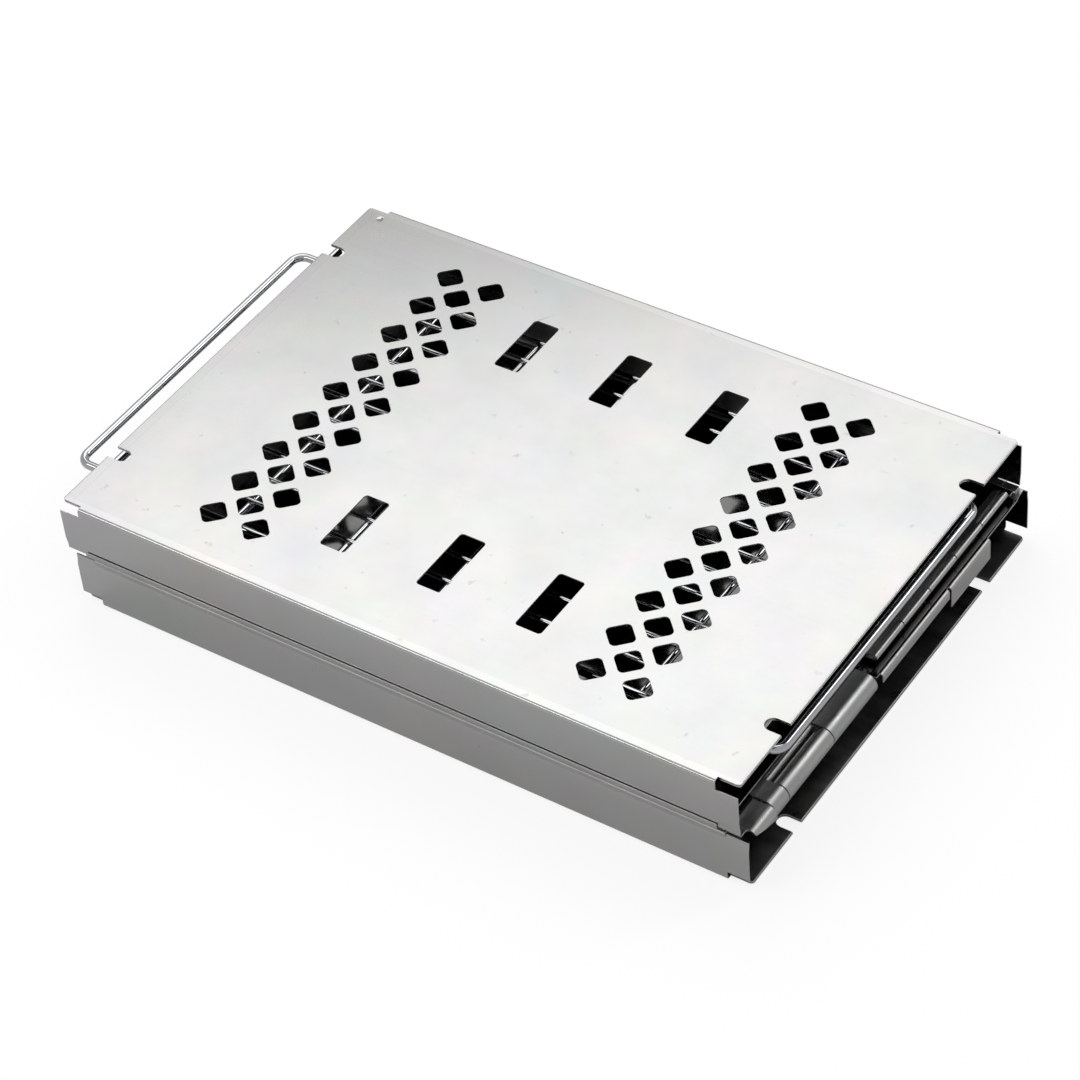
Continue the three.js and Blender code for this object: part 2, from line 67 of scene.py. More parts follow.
# The floor is a plain pale sheet. The camera sees it lifted to white, with the stove's soft shadow.
floor_half = 3.0
floor_level = -0.0004
floor_colour = (0.85, 0.85, 0.85, 1.0)
floor_seen_colour = (0.42, 0.42, 0.42, 1.0)
floor_lift = 0.8


# A node of a tree, with settings, fixed values and links to its inputs by name or place
def node(tree, kind, settings=None, **inputs):
    made = tree.nodes.new(kind)
    for setting, value in (settings or {}).items():
        setattr(made, setting, value)
    for name, value in inputs.items():
        socket = made.inputs[int(name[1:])] if name[1:].isdigit() else made.inputs[name.replace("_", " ")]
        if isinstance(value, bpy.types.NodeSocket):
            tree.links.new(value, socket)
        else:
            socket.default_value = value
    return made


def result(tree, kind, settings=None, **inputs):
    return node(tree, kind, settings, **inputs).outputs[0]


def mixed(tree, a, b, factor=1.0, kind="MIX"):
    settings = {"data_type": "RGBA", "blend_type": kind}
    return node(tree, "ShaderNodeMix", settings, Factor=factor, A=a, B=b).outputs["Result"]


floor_mesh = bpy.data.meshes.new("floor")
floor_corners = [
    (x * floor_half, y * floor_half, floor_level)
    for x, y in ((-1, -1), (1, -1), (1, 1), (-1, 1))
]
floor_mesh.from_pydata(floor_corners, [], [(0, 1, 2, 3)])
floor = new_object("floor", floor_mesh)
floor_material = bpy.data.materials.new("pale_floor")
floor_material.use_nodes = True
floor_tree = floor_material.node_tree
floor_tree.nodes.clear()
floor_seen = node(floor_tree, "ShaderNodeLightPath").outputs["Is Camera Ray"]
floor_tone = mixed(floor_tree, floor_colour, floor_seen_colour, floor_seen)
floor_paint = result(floor_tree, "ShaderNodeBsdfDiffuse", Color=floor_tone)
glow = result(floor_tree, "ShaderNodeMath", {"operation": "MULTIPLY"}, i0=floor_seen, i1=floor_lift)
floor_glow = result(floor_tree, "ShaderNodeEmission", Strength=glow)
floor_look = result(floor_tree, "ShaderNodeAddShader", i0=floor_paint, i1=floor_glow)
node(floor_tree, "ShaderNodeOutputMaterial", Surface=floor_look)
floor_mesh.materials.append(floor_material)

# Soft studio light: a pale room all round, one wide lamp over the back left, and a strip lamp
# over the back right corner and over the front left one.
room_light = 0.42
lamps = (
    ("overhead_lamp", (-0.72, 1.0, 1.8), 1.4, 1.4, 5.6),
    ("end_strip_lamp", (0.9, 1.2, 1.3), 0.3, 1.2, 2.6),
    ("front_strip_lamp", (-0.9, -1.2, 1.3), 1.2, 0.3, 2.3),
)

room = bpy.data.worlds.new("studio")
room.use_nodes = True
room_tree = room.node_tree
room_tree.nodes.clear()
room_seen = node(room_tree, "ShaderNodeLightPath").outputs["Is Camera Ray"]
room_glow = result(room_tree, "ShaderNodeBackground", Strength=room_light)
backdrop = result(room_tree, "ShaderNodeBackground")
room_look = result(room_tree, "ShaderNodeMixShader", Fac=room_seen, i1=room_glow, i2=backdrop)
node(room_tree, "ShaderNodeOutputWorld", Surface=room_look)
bpy.context.scene.world = room

for name, place, width, height, power in lamps:
    light = bpy.data.lights.new(name, "AREA")
    light.shape = "RECTANGLE"
    light.size = width
    light.size_y = height
    light.energy = power
    lamp = new_object(name, light)
    lamp.location = place
    lamp.rotation_euler = (-Vector(place)).to_track_quat("-Z", "Y").to_euler()

bpy.context.scene.view_settings.view_transform = "Standard"


# Outer shells: each half of the stove is one stainless sheet, punched with air holes, slots and
# notches, then bent up along both long sides and hemmed at both short ends. The upper shell is
# the same pressing turned over, and lies a little to the left of the lower one.
mm = 0.001
plate_length = 426 * mm
body_width = 294 * mm
body_height = 70 * mm
sheet = 0.8 * mm
clearance = 0.3 * mm
groove = 0.4 * mm
bend_radius = 2 * mm
relief_length = 13 * mm
relief_width = 3.5 * mm
relief_depth = 6 * mm
tab_corner = 2.6 * mm
notch_offset = 100 * mm
notch_width = 9 * mm
notch_depth = 12 * mm
lattice_pitch = 28 * mm
band_offset = 120 * mm
diamond_turn = math.radians(45)
slot_pitch = 62 * mm
edge_softness = 0.16 * mm
open_end = 30 * mm
rim_step = 0.8 * mm
rim_step_depth = 8 * mm
rim_step_run = 5.2 * mm
weld_reach = 0.01 * mm
bend_steps = 12
hem_steps = 6
corner_steps = 7
same_point = 0.00001 * mm
weld_share = 1 / 40
flat_turn = math.radians(0.4)
smooth_turn = math.radians(30)
corner_turn = math.radians(50)
edge_segments = 2
whole_face_weight = 100
upper_shift = -4.7 * mm

half_length = plate_length / 2
half_width = body_width / 2
middle_z = body_height / 2
rim_z = middle_z - groove / 2 - sheet - clearance
tab_half = half_width - relief_width
tab_start = half_length - relief_length
bend_line = bend_radius - sheet / 2
bend_start = half_width - bend_radius
bend_stop = bend_start + bend_line * math.pi / 2
relief_end = bend_stop + relief_depth - bend_radius
wall_end = bend_stop + rim_z - bend_radius
hem_line = (sheet + clearance) / 2
hem_start = half_length - hem_line - sheet / 2
hem_length = hem_line * math.pi
hem_middle = hem_start + hem_length / 2
hem_end = hem_start + hem_length + hem_start - tab_start
notch_near = half_length - notch_depth + notch_width / 2
notch_far = 2 * hem_middle - notch_near


def even_steps(start, stop, steps):
    return [start + (stop - start) * step / steps for step in range(steps + 1)]


def arc(centre, radius, start, stop, steps):
    turns = [math.radians(turn) for turn in even_steps(start, stop, steps)]
    return [(centre[0] + radius * math.cos(turn), centre[1] + radius * math.sin(turn)) for turn in turns]


# The hemmed ends have round corners, so the blank narrows towards the fold
def corner_edge(u):
    inward = tab_corner - min(abs(u - hem_middle), tab_corner)
    return tab_half - tab_corner + math.sqrt(tab_corner ** 2 - inward ** 2)


def in_blank(u, v):
    u, v = abs(u), abs(v)
    to_notch = math.hypot(max(notch_near - u, 0, u - notch_far), v - notch_offset)
    if to_notch < notch_width / 2 or v > wall_end:
        return False
    if v > relief_end:
        return u < half_length
    if v > tab_half:
        return u < tab_start
    return u < hem_end and v < corner_edge(u)


# Where a point of the flat blank lies once the long sides are bent up and the ends are hemmed
def folded(u, v):
    side, end = math.copysign(1, v), math.copysign(1, u)
    y, z, x = abs(v), sheet / 2, abs(u)
    if y > bend_stop:
        y, z = bend_start + bend_line, bend_radius + y - bend_stop
    elif y > bend_start:
        turn = (y - bend_start) / bend_line
        y, z = bend_start + bend_line * math.sin(turn), bend_radius - bend_line * math.cos(turn)
    y -= rim_step * min(max((z - rim_z + rim_step_depth) / rim_step_run, 0), 1)
    if abs(v) < tab_half + relief_width / 4 and x > hem_start:
        turn = min((x - hem_start) / hem_line, math.pi)
        folded_back = max(x - hem_start - hem_length, 0)
        x, z = hem_start + hem_line * math.sin(turn) - folded_back, z + hem_line * (1 - math.cos(turn))
    return Vector((end * x, side * y, z))


def modified(piece, kind, **settings):
    modifier = piece.modifiers.new(kind, kind)
    for setting, value in settings.items():
        setattr(modifier, setting, value)


# Makes the modifiers of a piece final
def settled(piece):
    bpy.context.view_layer.update()
    shape = piece.evaluated_get(bpy.context.evaluated_depsgraph_get())
    mesh = bpy.data.meshes.new_from_object(shape)
    piece.modifiers.clear()
    piece.data = mesh


# The sheet of a shell after bending. Its outline, its notches and the lines of its bends are
# laid out on the flat blank first.
def folded_blank(name):
    fold_rows = even_steps(hem_start, hem_start + hem_length, hem_steps)
    beyond = even_steps(hem_length / 2, tab_corner, corner_steps)[1:]
    past_fold = [hem_middle + side * offset for side in (-1, 1) for offset in beyond]
    quarter = [
        (hem_end, tab_half),
        *((u, corner_edge(u)) for u in sorted(fold_rows + past_fold, reverse=True)),
        (tab_start, tab_half),
        (tab_start, relief_end),
        (half_length, relief_end),
        (half_length, wall_end),
    ]
    left = [(-u, v) for u, v in reversed(quarter)]
    loops = [quarter + left + [(-u, -v) for u, v in quarter] + [(-u, -v) for u, v in left]]
    for end in (-1, 1):
        for side in (-1, 1):
            middle = side * notch_offset
            far = arc((end * notch_far, middle), notch_width / 2, 90, 90 - 180 * end, 2 * corner_steps)
            near = arc((end * notch_near, middle), notch_width / 2, -90, -90 - 180 * end, 2 * corner_steps)
            loops.append(far + near)
    points, lines = [], []
    for loop in loops:
        first = len(points)
        points.extend(loop)
        lines.extend((first + i, first + (i + 1) % len(loop)) for i in range(len(loop)))
    bend_rows = even_steps(bend_start, bend_stop, bend_steps)
    rim_rows = (wall_end - rim_step_depth, wall_end - rim_step_depth + rim_step_run)
    bends = [((-tab_start, v), (tab_start, v)) for v in bend_rows]
    bends += [((-half_length, v), (half_length, v)) for v in rim_rows]
    bends += [((u, corner_edge(u)), (u, -corner_edge(u))) for u in fold_rows]
    for bend in bends:
        for side in (-1, 1):
            lines.append((len(points), len(points) + 1))
            points.extend((side * u, side * v) for u, v in bend)
    flat, _, faces, *_ = delaunay_2d_cdt([Vector(point) for point in points], lines, [], 0, same_point)
    kept = []
    for face in faces:
        middle = sum((flat[i] for i in face), Vector((0, 0))) / len(face)
        if in_blank(*middle):
            kept.append(face)
    used = sorted({i for face in kept for i in face})
    order = {i: count for count, i in enumerate(used)}
    mesh = bpy.data.meshes.new(name)
    mesh.from_pydata([folded(*flat[i]) for i in used], [], [[order[i] for i in face] for face in kept])
    return mesh


# Gives a drawn face the thickness of the sheet, half to each side
def thickened(piece):
    modified(piece, "SOLIDIFY", thickness=sheet, offset=0, use_even_offset=True)
    settled(piece)


def tree_with(name, sizes):
    tree = bpy.data.node_groups.new(name, "GeometryNodeTree")
    tree.interface.new_socket("Geometry", in_out="OUTPUT", socket_type="NodeSocketGeometry")
    tree.interface.new_socket("Geometry", in_out="INPUT", socket_type="NodeSocketGeometry")
    for size, value in sizes.items():
        kind = "NodeSocketInt" if isinstance(value, int) else "NodeSocketFloat"
        tree.interface.new_socket(size, in_out="INPUT", socket_type=kind)
    tree.interface.new_socket("Finish", in_out="INPUT", socket_type="NodeSocketMaterial")
    return tree


def math_on(tree, kind, a, b=0.0):
    return result(tree, "ShaderNodeMath", {"operation": kind}, i0=a, i1=b)


def plus(tree, a, b):
    return math_on(tree, "ADD", a, b)


def less(tree, a, b):
    return math_on(tree, "SUBTRACT", a, b)


def times(tree, a, b):
    return math_on(tree, "MULTIPLY", a, b)


def spot(tree, x=0.0, y=0.0, z=0.0):
    return result(tree, "ShaderNodeCombineXYZ", X=x, Y=y, Z=z)


def moved(tree, geometry, place):
    return result(tree, "GeometryNodeTransform", Geometry=geometry, Translation=place)


def joined(tree, *parts):
    whole = node(tree, "GeometryNodeJoinGeometry")
    for part in parts:
        tree.links.new(part, whole.inputs[0])
    return whole.outputs[0]


# One shape set at every point
def spread(tree, points, shape):
    return result(tree, "GeometryNodeInstanceOnPoints", Points=points, Instance=shape)


def rounded_outline(tree, width, length, corner, steps):
    square = result(tree, "GeometryNodeCurvePrimitiveQuadrilateral", Width=width, Height=length)
    return result(
        tree, "GeometryNodeFilletCurve", {"mode": "POLY"}, Curve=square, Radius=corner, Count=steps,
    )


# A closed punch: a round-cornered outline given height
def punch(tree, width, length, corner, turn, low, high):
    outline = rounded_outline(tree, width, length, corner, corner_steps)
    face = result(tree, "GeometryNodeFillCurve", {"mode": "NGONS"}, Curve=outline)
    raised = result(tree, "GeometryNodeExtrudeMesh", Mesh=face, Offset_Scale=high - low, Individual=False)
    under = result(tree, "GeometryNodeFlipFaces", Mesh=face)
    closed = result(
        tree, "GeometryNodeMergeByDistance", Geometry=joined(tree, under, raised), Distance=weld_reach,
    )
    return result(
        tree, "GeometryNodeTransform", Geometry=closed, Rotation=(0, 0, turn), Translation=(0, 0, low),
    )


# The last nodes of a tree: one mesh, in the given finish
def tree_end(tree, geometry, finish):
    single = result(tree, "GeometryNodeRealizeInstances", Geometry=geometry)
    finished = result(tree, "GeometryNodeSetMaterial", Geometry=single, Material=finish)
    node(tree, "NodeGroupOutput", Geometry=finished)


# Punches cut out of the sheet that the tree is given
def punched_end(tree, given, punches):
    cutters = result(tree, "GeometryNodeRealizeInstances", Geometry=punches)
    punched = result(
        tree, "GeometryNodeMeshBoolean", {"operation": "DIFFERENCE", "solver": "MANIFOLD"},
        i0=given["Geometry"], i1=cutters,
    )
    tree_end(tree, punched, given["Finish"])


def use_tree(piece, tree, sizes, finish):
    modifier = piece.modifiers.new(tree.name, "NODES")
    modifier.node_group = tree
    for socket in tree.interface.items_tree:
        if socket.in_out == "INPUT" and socket.name in sizes:
            modifier[socket.identifier] = sizes[socket.name]
        if socket.name == "Finish":
            modifier[socket.identifier] = finish
    settled(piece)
    finished_in(piece, finish)


def smoothed(piece, sharp_turn=smooth_turn):
    piece.data.shade_smooth()
    piece.data.set_sharp_from_angle(angle=sharp_turn)


# Soft edges where faces meet at a corner, flat sheet left flat and bends left round. Splits
# through the holes keep its flat faces simple, and a point that a tight corner throws off the
# sheet goes back to it.
def softened(piece, width, splits=()):
    shape = bmesh.new()
    shape.from_mesh(piece.data)
    bmesh.ops.remove_doubles(shape, verts=shape.verts, dist=width * weld_share)
    bmesh.ops.dissolve_limit(shape, angle_limit=flat_turn, verts=shape.verts, edges=shape.edges)
    for x in splits:
        every = shape.verts[:] + shape.edges[:] + shape.faces[:]
        bmesh.ops.bisect_plane(shape, geom=every, plane_co=(x, 0, 0), plane_no=(1, 0, 0))
    bmesh.ops.recalc_face_normals(shape, faces=shape.faces)
    square_skin = BVHTree.FromBMesh(shape)
    shape.to_mesh(piece.data)
    shape.free()
    modified(
        piece, "BEVEL", limit_method="ANGLE", angle_limit=corner_turn, width=width,
        segments=edge_segments, use_clamp_overlap=False,
    )
    settled(piece)
    for point in piece.data.vertices:
        nearest, _, _, distance = square_skin.find_nearest(point.co)
        if distance > width:
            point.co = nearest
    smoothed(piece)
    modified(piece, "WEIGHTED_NORMAL", keep_sharp=True, weight=whole_face_weight)
    settled(piece)


turn_over = Matrix.Translation((upper_shift, 0, body_height)) @ Matrix.Rotation(math.pi, 4, "Y")


def copied(piece, name, turn=turn_over):
    mesh = piece.data.copy()
    mesh.transform(turn)
    return new_object(name, mesh)


def finished_in(piece, metal):
    piece.data.materials.clear()
    piece.data.materials.append(metal)


def stands_for(piece, node_name, body):
    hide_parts(node_name)
    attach(piece, body)


# The same for a piece and its twin, which is turned over into the other half
def pair_stands_for(piece, metal, node_name, body, twin_name, twin_node, twin_body):
    finished_in(piece, metal)
    stands_for(copied(piece, twin_name), twin_node, twin_body)
    stands_for(piece, node_name, body)


def shade_group(name, inputs, outputs):
    group = bpy.data.node_groups.new(name, "ShaderNodeTree")
    for direction, sockets in (("INPUT", inputs), ("OUTPUT", outputs)):
        for socket in sockets:
            kind = "NodeSocketColor" if socket == "Colour" else "NodeSocketFloat"
            group.interface.new_socket(socket, in_out=direction, socket_type=kind)
    return group


# A colour made lighter or darker
def shaded(tree, colour, level):
    grey = result(tree, "ShaderNodeCombineColor", Red=level, Green=level, Blue=level)
    return mixed(tree, colour, grey, kind="MULTIPLY")


def noise(tree, place, scale, detail, **more):
    return node(tree, "ShaderNodeTexNoise", Vector=place, Scale=scale, Detail=detail, **more).outputs


# Zero up to the start, then rising to the top value
def ramp(tree, value, start, stop, top=1.0, kind="LINEAR"):
    settings = {"interpolation_type": kind}
    return result(tree, "ShaderNodeMapRange", settings, Value=value, i1=start, i2=stop, i4=top)


# Bloom of rolled steel sheet: soft clouds, a faint drift of hue, fine rolling lines along X
# and small dull stains
cloud_detail = 5.0
cloud_grain = 0.62
hue_detail = 2.0
hue_twist = 0.4
fine_detail = 3.0
line_stretch = (7.0, 320.0, 320.0)
line_roughness = 0.5
speck_scale = 130.0
stain_start = 0.68
stain_full = 0.76
middle_level = 0.5
bloom = shade_group(
    "sheet_bloom",
    ("Colour", "Cloud", "Cloud Scale", "Drift", "Lines", "Stain"),
    ("Colour", "Roughness Shift", "Height"),
)
bloom_in = node(bloom, "NodeGroupInput").outputs
metal_place = node(bloom, "ShaderNodeTexCoord").outputs["Object"]
cloud = noise(bloom, metal_place, bloom_in["Cloud Scale"], cloud_detail, Roughness=cloud_grain)["Fac"]
hue = noise(bloom, metal_place, bloom_in["Cloud Scale"], hue_detail, Distortion=hue_twist)["Color"]
along = result(bloom, "ShaderNodeMapping", Vector=metal_place, Scale=line_stretch)
line = noise(bloom, along, 1.0, fine_detail)["Fac"]
speck = noise(bloom, metal_place, speck_scale, fine_detail)["Fac"]
swing = times(bloom, less(bloom, cloud, middle_level), bloom_in["Cloud"])
ripple = times(bloom, less(bloom, line, middle_level), bloom_in["Lines"])
dull = times(bloom, ramp(bloom, speck, stain_start, stain_full), bloom_in["Stain"])
level = less(bloom, plus(bloom, plus(bloom, swing, ripple), 1.0), dull)
drift = mixed(bloom, (middle_level, middle_level, middle_level, 1.0), hue, bloom_in["Drift"])
clouded = shaded(bloom, bloom_in["Colour"], level)
toned = mixed(bloom, clouded, mixed(bloom, drift, drift, kind="ADD"), kind="MULTIPLY")
shift = plus(bloom, less(bloom, times(bloom, ripple, line_roughness), swing), dull)
node(bloom, "NodeGroupOutput", Colour=toned, Roughness_Shift=shift, Height=ripple)

# Hairline scratches that run a few centimetres and cross each other at random
scratch_turns = (0.4, 1.3, 2.5)
scratch_stretch = (1.0, 0.12, 1.0)
patch_detail = 1.0
patch_level = 0.58
scratch = shade_group("hair_scratches", ("Scale", "Width", "Amount"), ("Mask",))
scratch_in = node(scratch, "NodeGroupInput").outputs
scratch_place = node(scratch, "ShaderNodeTexCoord").outputs["Object"]
mask = 0.0
for turn in scratch_turns:
    lay = result(
        scratch, "ShaderNodeMapping",
        Vector=scratch_place, Rotation=(turn, turn, turn), Scale=scratch_stretch,
    )
    from_line = result(
        scratch, "ShaderNodeTexVoronoi", {"feature": "DISTANCE_TO_EDGE"},
        Vector=lay, Scale=scratch_in["Scale"],
    )
    thin = math_on(scratch, "LESS_THAN", from_line, scratch_in["Width"])
    patch = noise(scratch, lay, scratch_in["Scale"], patch_detail)["Fac"]
    in_patch = math_on(scratch, "GREATER_THAN", patch, patch_level)
    mask = math_on(scratch, "MAXIMUM", mask, times(scratch, thin, in_patch))
node(scratch, "NodeGroupOutput", Mask=times(scratch, mask, scratch_in["Amount"]))

bump_strength = 0.1
bump_depth = 0.35 * mm


# A metal with the bloom and the scratches laid over its own colour and roughness
def worn_metal(
    name, colour, roughness, cloud=0.1, cloud_scale=30.0, drift=0.03, lines=0.1, stain=0.1,
    scratch_scale=22.0, scratch_width=0.006, scratches=0.12,
):
    material = bpy.data.materials.new(name)
    material.use_nodes = True
    tree = material.node_tree
    shader = tree.nodes["Principled BSDF"]
    shader.inputs["Metallic"].default_value = 1.0
    look = node(
        tree, "ShaderNodeGroup", {"node_tree": bloom}, Colour=(*colour, 1.0),
        Cloud=cloud, Cloud_Scale=cloud_scale, Drift=drift, Lines=lines, Stain=stain,
    ).outputs
    worn = result(
        tree, "ShaderNodeGroup", {"node_tree": scratch},
        Scale=scratch_scale, Width=scratch_width, Amount=scratches,
    )
    lighter = shaded(tree, look["Colour"], plus(tree, worn, 1.0))
    tree.links.new(lighter, shader.inputs["Base Color"])
    rough = plus(tree, plus(tree, look["Roughness Shift"], worn), roughness)
    tree.links.new(rough, shader.inputs["Roughness"])
    bump = node(
        tree, "ShaderNodeBump", {"name": "sheet_height"},
        Height=look["Height"], Strength=bump_strength, Distance=bump_depth,
    )
    tree.links.new(bump.outputs[0], shader.inputs["Normal"])
    return material


# Gives the faces that a rule picks a metal of their own
def metal_where(piece, metal, rule):
    piece.data.materials.append(metal)
    for face in piece.data.polygons:
        if rule(face.center, face.normal):
            face.material_index = len(piece.data.materials) - 1


satin_steel = worn_metal(
    "satin_steel", (0.775, 0.775, 0.765), 0.22,
    cloud=0.08, cloud_scale=24.0, drift=0.06, lines=0.04, stain=0.08, scratch_scale=30.0,
    scratch_width=0.004, scratches=0.015,
)

hole_sizes = {
    "Lattice pitch": lattice_pitch,
    "Band offset": band_offset,
    "Half rows": 8,
    "Diamond side": 13.9 * mm,
    "Diamond corner": 3 * mm,
    "Slot width": 16 * mm,
    "Slot length": 43 * mm,
    "Slot pitch": slot_pitch,
    "Slot offset": 82.5 * mm,
    "Slot corner": 2 * mm,
}
holes = tree_with("air_holes", hole_sizes)
hole_in = node(holes, "NodeGroupInput").outputs
half_pitch = times(holes, hole_in["Lattice pitch"], 0.5)
square_grid = result(
    holes, "GeometryNodeMeshGrid", Vertices_X=3,
    Vertices_Y=plus(holes, times(holes, hole_in["Half rows"], 2.0), 1.0),
    Size_X=hole_in["Lattice pitch"],
    Size_Y=times(holes, hole_in["Half rows"], hole_in["Lattice pitch"]),
)
lattice_place = result(holes, "GeometryNodeInputPosition")
lattice_point = node(holes, "ShaderNodeSeparateXYZ", Vector=lattice_place).outputs
steps_out = math_on(holes, "DIVIDE", plus(holes, lattice_point["X"], lattice_point["Y"]), half_pitch)
odd = math_on(holes, "FLOORED_MODULO", math_on(holes, "ROUND", steps_out), 2.0)
even = math_on(holes, "LESS_THAN", odd, 0.5)
lattice = result(holes, "GeometryNodeDeleteGeometry", Geometry=square_grid, Selection=even)
bands = joined(holes, *(
    moved(holes, lattice, spot(holes, times(holes, hole_in["Band offset"], side))) for side in (-1.0, 1.0)
))
diamond_punch = punch(
    holes, hole_in["Diamond side"], hole_in["Diamond side"], hole_in["Diamond corner"],
    diamond_turn, -sheet, 2 * sheet,
)
slot_grid = result(
    holes, "GeometryNodeMeshGrid", Vertices_X=3, Vertices_Y=2,
    Size_X=times(holes, hole_in["Slot pitch"], 2.0),
    Size_Y=times(holes, hole_in["Slot offset"], 2.0),
)
slot_punch = punch(
    holes, hole_in["Slot width"], hole_in["Slot length"], hole_in["Slot corner"], 0.0, -sheet, 2 * sheet,
)
slots = spread(holes, slot_grid, slot_punch)
punched_end(holes, hole_in, joined(holes, slots, spread(holes, bands, diamond_punch)))

lower_shell = new_object("lower_shell", folded_blank("lower_shell"))
thickened(lower_shell)
use_tree(lower_shell, holes, hole_sizes, satin_steel)
columns = [side * (band_offset + step * lattice_pitch / 2) for side in (-1, 1) for step in (-1, 0, 1)]
open_from = half_length - open_end
softened(lower_shell, edge_softness, columns + [-slot_pitch, 0, slot_pitch, -open_from, open_from])

# A painted highlight lightens a band along both bends and painted shade darkens a faint line
# along both hemmed ends. The press leaves one round dimple in a corner of the plate
bend_highlight_width = 6.5 * mm
bend_highlight_fade = 0.8 * mm
bend_highlight_gain = 1.07
end_shade_inset = 4 * mm
end_shade_width = 0.5 * mm
end_shade_gain = 0.93
dimple_place = (-205.7 * mm, 137.2 * mm)
dimple_radius = 2.4 * mm
dimple_depth = 0.5 * mm


# How far one value is from another, either way
def apart(tree, a, b):
    return math_on(tree, "ABSOLUTE", less(tree, a, b))


satin = satin_steel.node_tree
shell_place = node(satin, "ShaderNodeTexCoord").outputs["Object"]
shell_point = node(satin, "ShaderNodeSeparateXYZ", Vector=shell_place).outputs
in_plate = math_on(
    satin, "GREATER_THAN", apart(satin, shell_point["Z"], middle_z), middle_z - bend_radius,
)
# Painted highlight: the plate is lighter in a band along both bends
bend_highlight_start = half_width - bend_highlight_width
bend_highlight = ramp(
    satin, apart(satin, shell_point["Y"], 0.0), bend_highlight_start, bend_highlight_start + bend_highlight_fade, bend_highlight_gain - 1,
)
# Painted shade: a faint darker line along both hemmed ends of the plate
to_end = apart(satin, shell_point["X"], upper_shift / 2)
to_line = apart(satin, to_end, half_length - end_shade_inset)
end_shade_line = ramp(satin, to_line, end_shade_width, 0.0, end_shade_gain - 1)
# The painted highlight and the painted shade both scale the plate's colour
gain = plus(satin, times(satin, plus(satin, bend_highlight, end_shade_line), in_plate), 1.0)
shell_shader = satin.nodes["Principled BSDF"]
plain_colour = shell_shader.inputs["Base Color"].links[0].from_socket
satin.links.new(shaded(satin, plain_colour, gain), shell_shader.inputs["Base Color"])
to_dimple = node(
    satin, "ShaderNodeVectorMath", {"operation": "DISTANCE"},
    i0=spot(satin, shell_point["X"], shell_point["Y"]), i1=(*dimple_place, 0.0),
).outputs["Value"]
dimple = ramp(satin, to_dimple, dimple_radius, 0.0, kind="SMOOTHSTEP")
pressed = node(
    satin, "ShaderNodeBump", {"invert": True},
    Height=dimple, Distance=dimple_depth, Normal=satin.nodes["sheet_height"].outputs[0],
)
satin.links.new(pressed.outputs[0], shell_shader.inputs["Normal"])

# Inside, the sheet is smoother, and darkened as painted shade, less so in a rougher strip along
# both open ends where more light gets in. The cut edges of the holes are lightened as a painted highlight.
inside_z = 0.8 * sheet
end_strip_z = 4 * sheet
mostly_facing = 0.7
cut_edge_facing = 0.97
# Painted shade: the inside faces of the same steel, given a dark colour
painted_shade_steel = worn_metal("painted_shade_steel", (0.18, 0.18, 0.175), 0.1, cloud=0.3)
metal_where(lower_shell, painted_shade_steel, lambda place, facing: (
    place.z > inside_z
    and (facing.z > mostly_facing or place.y * facing.y < -half_width * mostly_facing)
))
# Painted shade, lighter than deeper inside: the inside faces near the open ends, where more light gets in
open_end_shade_steel = worn_metal(
    "open_end_shade_steel", (0.36, 0.36, 0.35), 0.34,
    cloud=0.5, cloud_scale=40.0, lines=0.3, stain=0.2,
)
metal_where(lower_shell, open_end_shade_steel, lambda place, facing: (
    inside_z < place.z < end_strip_z and facing.z > mostly_facing and abs(place.x) > open_from
))
# Painted highlight: the cut edges of the holes and notches are lightened so they show as bright rims
painted_highlight_edge_steel = worn_metal(
    "painted_highlight_edge_steel", (0.93, 0.93, 0.92), 0.4,
    cloud_scale=60.0, drift=0.02, lines=0.0, stain=0.05, scratch_scale=60.0, scratch_width=0.01,
    scratches=0.02,
)
metal_where(lower_shell, painted_highlight_edge_steel, lambda place, facing: (
    abs(place.x) < tab_start
    and abs(place.y) < tab_half - tab_corner
    and abs(facing.z) < cut_edge_facing
))
upper_shell = copied(lower_shell, "upper_shell")
stands_for(lower_shell, "lower_outer_shell", "lower_half")
stands_for(upper_shell, "upper_outer_shell", "upper_half")


# Inner panels: one stainless sheet closes each half. It is seamed over both wall rims, steps down
# between them, and ends at the right in two hanging flanges, a round lip and the middle hinge
# barrel, and at the left in wire curls. The upper panel is the same pressing turned over.
seam_height = 3.3 * mm
seam_round = 0.45 * mm
step_inset = 6 * mm
step_run = 2.5 * mm
leaf_bay = 4.4 * mm
lip_radius = 5 * mm
lip_heights = (2 * mm, 8 * mm)
tall_flange_height = 14 * mm
tall_flange_ends = (61 * mm, 104 * mm)
short_flange_height = 6 * mm
short_flange_ends = (-12 * mm, 59 * mm)
wire_pin_radius = 0.8 * mm
tube_radius = 5.5 * mm
end_margin = 1 * mm
knuckle_gap = 0.6 * mm
wide_hinge_inset = 16 * mm
wide_hinge_back = -16 * mm
wide_knuckle_inset = 13.5 * mm
wide_knuckle_length = 44 * mm
wire_hinge_front = -8 * mm
wire_knuckles = 5
recess_depth = 10.5 * mm
curl_rise = 5 * mm
curl_root = 4 * mm
leaf_length = 100 * mm
leaf_side_gap = 3.7 * mm
panel_edge = 0.18 * mm
bright_end = 14 * mm
flat_facing = 0.99
turn_step = 6
past = 1 * mm

